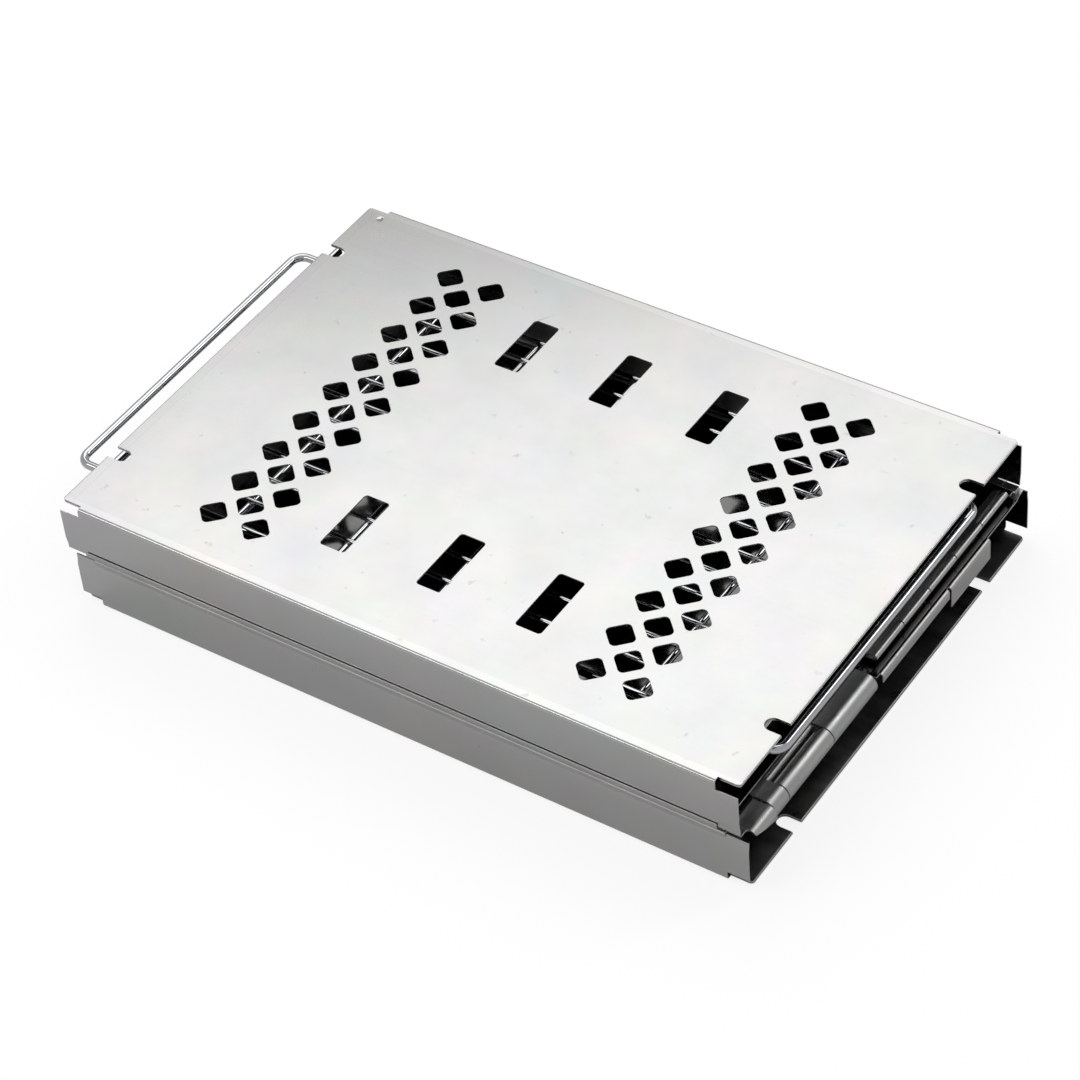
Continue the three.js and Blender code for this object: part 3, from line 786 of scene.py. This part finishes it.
curl_radius = wire_pin_radius + clearance + sheet
curl_line = curl_radius - sheet / 2
barrel_radius = tube_radius + clearance + sheet
barrel_line = barrel_radius - sheet / 2
lower_leaf_z = middle_z - curl_line
upper_leaf_z = middle_z + curl_line
wide_pin = (half_length - end_margin - barrel_radius, lower_leaf_z - barrel_line)
fold_pin = (wide_pin[0] - leaf_length, middle_z)
wire_pin = (wide_pin[0], upper_leaf_z + curl_line)
left_wire_pin = (upper_shift - wire_pin[0], body_height - wire_pin[1])
panel_z = middle_z - leaf_bay / 2 - sheet / 2
panel_half = half_width - sheet - step_inset - step_run
leaf_half = panel_half - leaf_side_gap
hinge_front = wide_hinge_inset - leaf_half
knuckle_front = hinge_front + wide_knuckle_inset
wire_hinge_ends = (wire_hinge_front, leaf_half)


def turn_arc(centre, radius, start, stop):
    return arc(centre, radius, start, stop, max(2, round(abs(stop - start) / turn_step)))


# A piece skinned over rings of points, with a face over each of the given ends
def skinned(name, rings, ends=(0, -1)):
    mesh = bmesh.new()
    rows = [[mesh.verts.new(point) for point in ring] for ring in rings]
    for before, after in zip(rows, rows[1:]):
        for k in range(len(before)):
            mesh.faces.new((before[k - 1], before[k], after[k], after[k - 1]))
    for end in ends:
        mesh.faces.new(rows[end])
    bmesh.ops.remove_doubles(mesh, verts=mesh.verts, dist=same_point)
    bmesh.ops.recalc_face_normals(mesh, faces=mesh.faces)
    data = bpy.data.meshes.new(name)
    mesh.to_mesh(data)
    mesh.free()
    return new_object(name, data)


# A bent strip of sheet: its middle line, drawn out between two ends along X or Y
def strip(name, line, ends, across_x=False):
    points = [Vector(point) for point in line]
    rings = []
    for i, point in enumerate(points):
        back = (point - points[max(i - 1, 0)]).normalized()
        ahead = (points[min(i + 1, len(points) - 1)] - point).normalized()
        run = (back + ahead).normalized()
        aside = Vector((-run.y, run.x)) * sheet / 2 / max(run.dot(back), run.dot(ahead))
        edges = ((0, point + aside), (0, point - aside), (1, point - aside), (1, point + aside))
        rings.append([(ends[end], *edge) if across_x else (edge.x, ends[end], edge.y) for end, edge in edges])
    return skinned(name, rings)


def block(x, y, z):
    base = ((x[0], y[0]), (x[1], y[0]), (x[1], y[1]), (x[0], y[1]))
    return skinned("block", [[(*corner, level) for corner in base] for level in z])


# Parts cut from a piece, or welded to it, one after another
def worked(piece, parts, operation):
    for part in parts:
        modified(piece, "BOOLEAN", operation=operation, solver="MANIFOLD", object=part)
    settled(piece)
    for part in parts:
        bpy.data.objects.remove(part)
    return piece


def knuckle_window(ends, count, index):
    pitch = (ends[1] - ends[0]) / count
    return (ends[0] + pitch * index - knuckle_gap / 2, ends[0] + pitch * (index + 1) + knuckle_gap / 2)


def end_flange(name, ends, height, radius):
    corner = (half_length - radius, panel_z + sheet / 2 - radius)
    return strip(name, [
        (corner[0] - bend_radius, panel_z),
        *turn_arc(corner, radius - sheet / 2, 90, 0),
        (half_length - sheet / 2, panel_z + sheet / 2 - height),
    ], ends)


# The wedge below the round lip, which is lower towards the front wall
def under_lip(ends):
    top = panel_z + sheet / 2
    wedge = block(
        (half_length - lip_radius, half_length + past),
        (ends[0] - past, ends[1] + past),
        (0, top - lip_heights[1]),
    )
    for corner in wedge.data.vertices:
        if corner.co.z > 0 and corner.co.y < ends[0]:
            corner.co.z = top - lip_heights[0]
    return wedge


whole = (-past, body_height)
seam_z = middle_z - groove / 2 - sheet / 2
seam_y = half_width - rim_step + clearance + sheet / 2
side_line = [
    (panel_half, panel_z),
    (panel_half + step_run, seam_z),
    *turn_arc((seam_y - seam_round, seam_z - seam_round), seam_round, 90, 0),
    (seam_y, seam_z + sheet / 2 - seam_height),
]
both_sides = [(-y, z) for y, z in reversed(side_line)] + side_line
lower_panel = strip("lower_panel", both_sides, (-half_length, half_length), True)
outermost = seam_y + sheet / 2 + past
wide_recess = (hinge_front - knuckle_gap, wide_hinge_back + knuckle_gap)
right_cut = half_length + past
left_cut = -half_length - past
flat_end = left_wire_pin[0] + curl_radius + curl_rise + curl_root / 2
panel_cuts = [
    block(
        sorted((end * tab_start, end * right_cut)),
        sorted((side * (half_width - rim_step - sheet - clearance), side * outermost)), whole,
    )
    for end in (-1, 1) for side in (-1, 1)
]
for x, y in (
    ((wide_pin[0] - barrel_radius - knuckle_gap, right_cut), wide_recess),
    ((half_length - lip_radius, right_cut), (-outermost, wide_recess[0])),
    ((half_length - bend_radius, right_cut), (wide_recess[1], outermost)),
    ((left_cut, -half_length + recess_depth), (-outermost, wire_hinge_front - knuckle_gap)),
    ((left_cut, flat_end), (wire_hinge_front - knuckle_gap, leaf_half)),
):
    panel_cuts.append(block(x, y, whole))
worked(lower_panel, panel_cuts, "DIFFERENCE")

rise = (wide_pin[0] - barrel_line - bend_line, panel_z - bend_line)
wide_curl = strip("wide_curl", [
    (rise[0] - bend_radius, panel_z),
    *turn_arc(rise, bend_line, 90, 0),
    *turn_arc(wide_pin, barrel_line, 180, 450),
], (knuckle_front, knuckle_front + wide_knuckle_length))
lip_ends = (-panel_half, wide_recess[0])
lip = worked(end_flange("lip", lip_ends, lip_heights[1], lip_radius), [under_lip(lip_ends)], "DIFFERENCE")
wire_curls = strip("wire_curls", [
    (left_wire_pin[0] + curl_radius + curl_rise + curl_root, panel_z),
    (left_wire_pin[0] + curl_radius + curl_rise, panel_z),
    (left_wire_pin[0] + curl_radius, left_wire_pin[1] - curl_line),
    *turn_arc(left_wire_pin, curl_line, 270, 0),
], wire_hinge_ends)
curl_window = (left_cut, left_wire_pin[0] + curl_radius + knuckle_gap)
worked(wire_curls, [
    block(curl_window, knuckle_window(wire_hinge_ends, wire_knuckles, index), whole)
    for index in range(0, wire_knuckles, 2)
], "DIFFERENCE")
worked(lower_panel, [
    wide_curl,
    lip,
    end_flange("tall_flange", tall_flange_ends, tall_flange_height, bend_radius),
    end_flange("short_flange", short_flange_ends, short_flange_height, bend_radius),
    wire_curls,
], "UNION")
bright_from = half_length - bright_end
softened(lower_panel, panel_edge, [-bright_from, bright_from])
panel_steel = worn_metal("panel_steel", (0.68, 0.68, 0.67), 0.34, cloud=0.2, scratches=0.15)
finished_in(lower_panel, panel_steel)
# Painted shade on the panel's flat faces, all but a lit strip at the right end in front of the hinge, which
# keeps the plain panel steel
metal_where(lower_panel, painted_shade_steel, lambda place, facing: (
    abs(facing.z) > flat_facing and abs(place.z - panel_z) < sheet
    and (abs(place.x) < bright_from or place.y > wide_hinge_back)
))
upper_panel = copied(lower_panel, "upper_panel")
stands_for(lower_panel, "lower_inner_panel", "lower_half")
stands_for(upper_panel, "upper_inner_panel", "upper_half")


# End walls: each folds in half about a wire pin. The lower right leaf ends in the wide barrels
# round the hinge tube, its upper leaf in wire curls, and both have two pressed ribs. They are
# plain stainless sheet, and the left pair is the right pair turned over.
leaf_setback = 12 * mm
rib_inset = 34 * mm
rib_width = 10 * mm
rib_height = 0.8 * mm
rib_count = 2
fold_knuckles = 9
rib_steps = 12

leaf_ends = (-leaf_half, leaf_half)


# A pressed rib with round ends and sloping sides, on a leaf at the given height
def rib(x, z, rise):
    rings = []
    for shrink, height in ((0, 0), (0, sheet / 2), (rib_height, sheet / 2 + rib_height)):
        ring = []
        for side in (1, -1):
            centre = (x, side * (leaf_half - rib_inset - rib_width / 2))
            half_turn = arc(centre, rib_width / 2 - shrink, 90 - 90 * side, 270 - 90 * side, rib_steps)
            ring.extend((a, b, z + rise * height) for a, b in half_turn)
        rings.append(ring)
    return skinned("rib", rings)


def ribs(z, rise):
    return [rib(fold_pin[0] + leaf_length * (i + 1) / (rib_count + 1), z, rise) for i in range(rib_count)]


def fold_windows(first):
    beyond = (fold_pin[0] - curl_radius - past, fold_pin[0] + curl_radius + knuckle_gap)
    return [
        block(beyond, knuckle_window(leaf_ends, fold_knuckles, index), whole)
        for index in range(first, fold_knuckles, 2)
    ]


barrel_leaf = strip("right_lower_leaf", [
    *turn_arc(fold_pin, curl_line, 0, 270),
    *turn_arc(wide_pin, barrel_line, 90, -180),
], leaf_ends)
beyond_end = (wide_pin[0] - leaf_setback, right_cut)
barrel_cuts = [
    block(beyond_end, (-leaf_half - past, hinge_front), whole),
    block(beyond_end, (wide_hinge_back, leaf_half + past), whole),
    block(
        (wide_pin[0] - barrel_radius - knuckle_gap - sheet, right_cut),
        (knuckle_front - knuckle_gap, knuckle_front + wide_knuckle_length + knuckle_gap), whole,
    ),
]
worked(barrel_leaf, barrel_cuts + fold_windows(0), "DIFFERENCE")
worked(barrel_leaf, ribs(lower_leaf_z, 1), "UNION")
softened(barrel_leaf, panel_edge)

wire_leaf = strip("right_upper_leaf", [
    *turn_arc(fold_pin, curl_line, 0, -270),
    *turn_arc(wire_pin, curl_line, -90, 180),
], leaf_ends)
recess_x = upper_shift + half_length - recess_depth - clearance - past
wire_cuts = [block((recess_x, right_cut), (-leaf_half - past, wire_hinge_front), whole)]
for index in range(1, wire_knuckles, 2):
    window = knuckle_window(wire_hinge_ends, wire_knuckles, index)
    wire_cuts.append(block((wire_pin[0] - curl_radius - knuckle_gap, right_cut), window, whole))
worked(wire_leaf, wire_cuts + fold_windows(1), "DIFFERENCE")
worked(wire_leaf, ribs(upper_leaf_z, -1), "UNION")
softened(wire_leaf, panel_edge)
leaf_steel = worn_metal(
    "leaf_steel", (0.66, 0.67, 0.66), 0.34,
    cloud=0.25, cloud_scale=34.0, drift=0.04, lines=0.2, stain=0.12, scratch_scale=26.0,
    scratch_width=0.008, scratches=0.2,
)
pair_stands_for(
    barrel_leaf, leaf_steel, "right_lower_end_wall", "right_lower_wall",
    "left_upper_leaf", "left_upper_end_wall", "left_upper_wall",
)
pair_stands_for(
    wire_leaf, leaf_steel, "right_upper_end_wall", "right_upper_wall",
    "left_lower_leaf", "left_lower_end_wall", "left_lower_wall",
)


# Hinge tubes and pins: a stainless tube in each wide barrel, cut square and deburred, and drawn
# wire pins through the curls, with rounded ends.
tube_wall = 0.8 * mm
tube_chamfer = 0.15 * mm
tube_sides = 48
pin_sides = 20
pin_dome_steps = 4


# A round piece: an outline of radius and place, turned about an axis that runs along Y
def lathed(name, outline, centre, sides):
    turns = [2 * math.pi * k / sides for k in range(sides)]
    piece = skinned(name, [
        [(centre[0] + radius * math.cos(turn), y, centre[1] + radius * math.sin(turn)) for turn in turns]
        for radius, y in outline
    ], ())
    smoothed(piece)
    return piece


low, high = hinge_front, wide_hinge_back
bore = tube_radius - tube_wall
tube = lathed("right_tube", [
    (tube_radius - tube_chamfer, low), (tube_radius, low + tube_chamfer),
    (tube_radius, high - tube_chamfer), (tube_radius - tube_chamfer, high),
    (bore + tube_chamfer, high), (bore, high - tube_chamfer),
    (bore, low + tube_chamfer), (bore + tube_chamfer, low),
    (tube_radius - tube_chamfer, low),
], wide_pin, tube_sides)


def wire_rod(name, centre, ends):
    turns = even_steps(0, math.pi / 2, pin_dome_steps)
    dome = [(wire_pin_radius * math.sin(turn), wire_pin_radius * (1 - math.cos(turn)) / 2) for turn in turns]
    start = [(radius, ends[0] + rise) for radius, rise in dome]
    stop = [(radius, ends[1] - rise) for radius, rise in reversed(dome)]
    return lathed(name, start + stop, centre, pin_sides)


wire_pin_rod = wire_rod("right_wire_pin", wire_pin, wire_hinge_ends)
fold_pin_rod = wire_rod("right_fold_wire", fold_pin, leaf_ends)
pin_steel = worn_metal(
    "pin_steel", (0.66, 0.66, 0.65), 0.18,
    cloud_scale=60.0, drift=0.02, lines=0.0, scratch_scale=60.0, scratch_width=0.01, scratches=0.1,
)
pair_stands_for(
    tube, pin_steel, "right_lower_hinge_tube", "lower_half",
    "left_tube", "left_upper_hinge_tube", "upper_half",
)
pair_stands_for(
    wire_pin_rod, pin_steel, "right_upper_hinge_pin", "upper_half",
    "left_wire_pin", "left_lower_hinge_pin", "lower_half",
)
pair_stands_for(
    fold_pin_rod, pin_steel, "right_fold_pin", "right_lower_wall",
    "left_fold_wire", "left_fold_pin", "left_lower_wall",
)


# Runners: four Z-shaped stainless strips, spot-welded inside the outer plates. Their inner lips
# carry the cooking grate in the upper half and the ash tray in the lower one.
runner_length = 180 * mm
runner_inset = 38 * mm
runner_height = 15.5 * mm
runner_flange = 10 * mm
runner_lip = 12.3 * mm
runner_bend = 1.2 * mm

runner_half = half_width - runner_inset
web = runner_half + sheet / 2
foot = sheet + clearance + sheet / 2
lip_top = sheet + clearance + runner_height
top = lip_top - sheet / 2
back_runner = strip("lower_back_runner_strip", [
    (web + runner_flange - sheet / 2, foot),
    *turn_arc((web + runner_bend, foot + runner_bend), runner_bend, 270, 180),
    *turn_arc((web - runner_bend, top - runner_bend), runner_bend, 0, 90),
    (web + sheet / 2 - runner_lip, top),
], (-runner_length / 2, runner_length / 2), True)
softened(back_runner, panel_edge)
front_runner = copied(back_runner, "lower_front_runner_strip", Matrix.Rotation(math.pi, 4, "Z"))
pair_stands_for(
    back_runner, panel_steel, "lower_back_runner", "lower_half",
    "upper_back_runner_strip", "upper_back_runner", "upper_half",
)
pair_stands_for(
    front_runner, panel_steel, "lower_front_runner", "lower_half",
    "upper_front_runner_strip", "upper_front_runner", "upper_half",
)


# Cooking grate: a chromed wire mesh, spot-welded. One thick rod is bent into a long loop whose
# left end is the hand loop, a bar and seven cross rods join its sides, ten wires lie on them.
grate_side_gap = 4 * mm
frame_rod_radius = 2.5 * mm
loop_reach = 24.3 * mm
loop_margin = -1 * mm
end_bar_offset = 19 * mm
end_bar_overhang = 14 * mm
loop_steps = 10
rod_sides = 20
wire_sides = 14

rod_z = body_height - lip_top + sheet + clearance + frame_rod_radius
loop_right = upper_shift + half_length - loop_margin - frame_rod_radius
loop_left = upper_shift - half_length - loop_reach + frame_rod_radius
side_y = runner_half - grate_side_gap - frame_rod_radius
grate_sizes = {
    "Loop length": loop_right - loop_left,
    "Loop width": 2 * side_y,
    "Loop radius": 7.5 * mm,
    "Loop middle": (loop_right + loop_left) / 2,
    "Frame rod": frame_rod_radius,
    "End bar": loop_left + end_bar_offset,
    "Bar length": 2 * (side_y + end_bar_overhang),
    "Cross rods": 7,
    "Cross rod": 2 * mm,
    "Cross pitch": 65 * mm,
    "Mesh middle": upper_shift,
    "Wires": 10,
    "Wire": 1.5 * mm,
    "Weld depth": 1 * mm,
    "Height": rod_z,
    "Side shift": -2.5 * mm,
}
grill = tree_with("wire_mesh", grate_sizes)
grate_in = node(grill, "NodeGroupInput").outputs


def round_rod(tree, path, radius, sides):
    profile = result(tree, "GeometryNodeCurvePrimitiveCircle", Resolution=sides, Radius=radius)
    return result(tree, "GeometryNodeCurveToMesh", Curve=path, Profile_Curve=profile, Fill_Caps=True)


# A straight rod along X or Y, reaching equally far to both sides of the middle
def straight_rod(tree, axis, reach, radius, sides):
    start = spot(tree, **{axis: times(tree, reach, -1.0)})
    stop = spot(tree, **{axis: reach})
    path = result(tree, "GeometryNodeCurvePrimitiveLine", Start=start, End=stop)
    return round_rod(tree, path, radius, sides)


def rod_row(tree, rod, count, start, pitch):
    row = result(tree, "GeometryNodeMeshLine", Count=count, Start_Location=start, Offset=pitch)
    return spread(tree, row, rod)


loop_path = rounded_outline(
    grill, grate_in["Loop length"], grate_in["Loop width"], grate_in["Loop radius"], loop_steps,
)
loop_rod = round_rod(grill, loop_path, grate_in["Frame rod"], rod_sides)
loop = moved(grill, loop_rod, spot(grill, grate_in["Loop middle"], 0.0, grate_in["Height"]))

half_bar = times(grill, grate_in["Bar length"], 0.5)
bar_rod = straight_rod(grill, "y", half_bar, grate_in["Frame rod"], rod_sides)
end_bar = moved(grill, bar_rod, spot(grill, grate_in["End bar"], 0.0, grate_in["Height"]))

half_side = times(grill, grate_in["Loop width"], 0.5)
cross_span = times(grill, grate_in["Cross pitch"], less(grill, grate_in["Cross rods"], 1.0))
mesh_half = times(grill, cross_span, 0.5)
first_cross = less(grill, grate_in["Mesh middle"], mesh_half)
cross_set = rod_row(
    grill, straight_rod(grill, "y", half_side, grate_in["Cross rod"], wire_sides),
    grate_in["Cross rods"], spot(grill, first_cross, 0.0, grate_in["Height"]),
    spot(grill, grate_in["Cross pitch"]),
)

wire_half = plus(grill, mesh_half, grate_in["Cross rod"])
wire_gap = math_on(grill, "DIVIDE", grate_in["Loop width"], plus(grill, grate_in["Wires"], 1.0))
rod_and_wire = plus(grill, grate_in["Cross rod"], grate_in["Wire"])
wire_rise = less(grill, rod_and_wire, grate_in["Weld depth"])
first_wire = spot(
    grill, grate_in["Mesh middle"], less(grill, wire_gap, half_side),
    plus(grill, grate_in["Height"], wire_rise),
)
wire_set = rod_row(
    grill, straight_rod(grill, "x", wire_half, grate_in["Wire"], wire_sides),
    grate_in["Wires"], first_wire, spot(grill, y=wire_gap),
)
welded = joined(grill, wire_set, cross_set, end_bar, loop)
shifted = moved(grill, welded, spot(grill, y=grate_in["Side shift"]))
tree_end(grill, shifted, grate_in["Finish"])

chrome = worn_metal(
    "chrome_wire", (0.84, 0.86, 0.88), 0.05,
    cloud=0.04, cloud_scale=45.0, lines=0.0, stain=0.04, scratch_scale=50.0, scratches=0.03,
)
grate = new_object("wire_grate", bpy.data.meshes.new("wire_grate"))
use_tree(grate, grill, grate_sizes, chrome)
smoothed(grate, corner_turn)
stands_for(grate, "cooking_grate", "grate")


# Ash tray: a pan pressed from one stainless sheet, with round corners and a flat rim that
# hangs on the lower runners.
tray_length = 360 * mm
tray_depth = 13.7 * mm
tray_body_gap = 1.5 * mm
tray_corner = 9 * mm
tray_end_lip = 4 * mm
tray_side_gap = 1 * mm
tray_top_bend = 1 * mm
tray_floor_bend = 2.6 * mm
tray_corner_steps = 8

tray_rim_z = lip_top + clearance + sheet / 2
tray_half = (tray_length / 2 - sheet / 2, runner_half + sheet - runner_lip - tray_body_gap - sheet / 2)
tray_floor_z = tray_rim_z - tray_depth + sheet
tray_frame = [(tray_length / 2 + tray_end_lip, runner_half - tray_side_gap, tray_corner, tray_rim_z)]
top_turn = turn_arc((tray_top_bend, tray_rim_z - tray_top_bend), tray_top_bend, 90, 180)
floor_turn = turn_arc((-tray_floor_bend, tray_floor_z + tray_floor_bend), tray_floor_bend, 0, -90)
for a, z in top_turn + floor_turn:
    tray_frame.append((tray_half[0] + a, tray_half[1] + a, tray_corner - sheet / 2 + a, z))
rings = []
for half_x, half_y, radius, z in tray_frame:
    ring = []
    for quarter, (side_x, side_y) in enumerate(((1, 1), (-1, 1), (-1, -1), (1, -1))):
        centre = (side_x * (half_x - radius), side_y * (half_y - radius))
        quarter_turn = arc(centre, radius, 90 * quarter, 90 * quarter + 90, tray_corner_steps)
        ring.extend((x, y, z) for x, y in quarter_turn)
    rings.append(ring)
tray = skinned("ash_pan", rings, (-1,))
thickened(tray)
softened(tray, panel_edge)
# The tray steel is darker than the other sheet: painted shade for the closed inside of the stove
tray_steel = worn_metal(
    "tray_steel", (0.46, 0.46, 0.45), 0.14,
    cloud=0.25, cloud_scale=24.0, drift=0.04, stain=0.15, scratch_scale=18.0, scratch_width=0.008,
    scratches=0.08,
)
finished_in(tray, tray_steel)
stands_for(tray, "ash_tray", "tray")


# Fire grate: a slotted stainless plate with its long sides bent down as feet. It lies loose in
# the ash tray and keeps the embers off its floor.
fire_grate_length = 336 * mm
fire_grate_side_gap = 10 * mm
fire_grate_height = 8 * mm
fire_slot_web = 24 * mm
fire_slot_rows = 2
fire_slots_in_row = 15
fire_slot_pitch = 21 * mm

foot_z = tray_floor_z + sheet / 2 + clearance
fire_top = foot_z + fire_grate_height
fire_half = tray_half[1] + sheet / 2 - fire_grate_side_gap
fire_corner = (fire_half - bend_radius, fire_top - bend_radius)
fire_side = [*turn_arc(fire_corner, bend_line, 90, 0), (fire_half - sheet / 2, foot_z)]
fire_line = [(-y, z) for y, z in reversed(fire_side)] + fire_side
fire_plate = strip("fire_plate", fire_line, (-fire_grate_length / 2, fire_grate_length / 2), True)
fire_sizes = {
    "Slot width": 8 * mm,
    "Slot length": 2 * fire_half / fire_slot_rows - fire_slot_web,
    "Slot corner": 3.5 * mm,
    "Slots in row": fire_slots_in_row,
    "Rows": fire_slot_rows,
    "Slot pitch": fire_slot_pitch,
    "Row pitch": 2 * fire_half / fire_slot_rows,
    "Top": fire_top,
}
slotted = tree_with("fire_slots", fire_sizes)
fire_in = node(slotted, "NodeGroupInput").outputs
fire_grid = result(
    slotted, "GeometryNodeMeshGrid", Vertices_X=fire_in["Slots in row"], Vertices_Y=fire_in["Rows"],
    Size_X=times(slotted, fire_in["Slot pitch"], less(slotted, fire_in["Slots in row"], 1.0)),
    Size_Y=times(slotted, fire_in["Row pitch"], less(slotted, fire_in["Rows"], 1.0)),
)
fire_spots = moved(slotted, fire_grid, spot(slotted, z=fire_in["Top"]))
fire_punch = punch(
    slotted, fire_in["Slot width"], fire_in["Slot length"], fire_in["Slot corner"], 0.0, -2 * sheet, sheet,
)
punched_end(slotted, fire_in, spread(slotted, fire_spots, fire_punch))
# The fire grate shares the tray's darkened steel, painted shade
use_tree(fire_plate, slotted, fire_sizes, tray_steel)
slot_lines = [fire_slot_pitch * (i - (fire_slots_in_row - 1) / 2) for i in range(fire_slots_in_row)]
softened(fire_plate, panel_edge, slot_lines)
stands_for(fire_plate, "fire_grate", "fire_grate_plate")
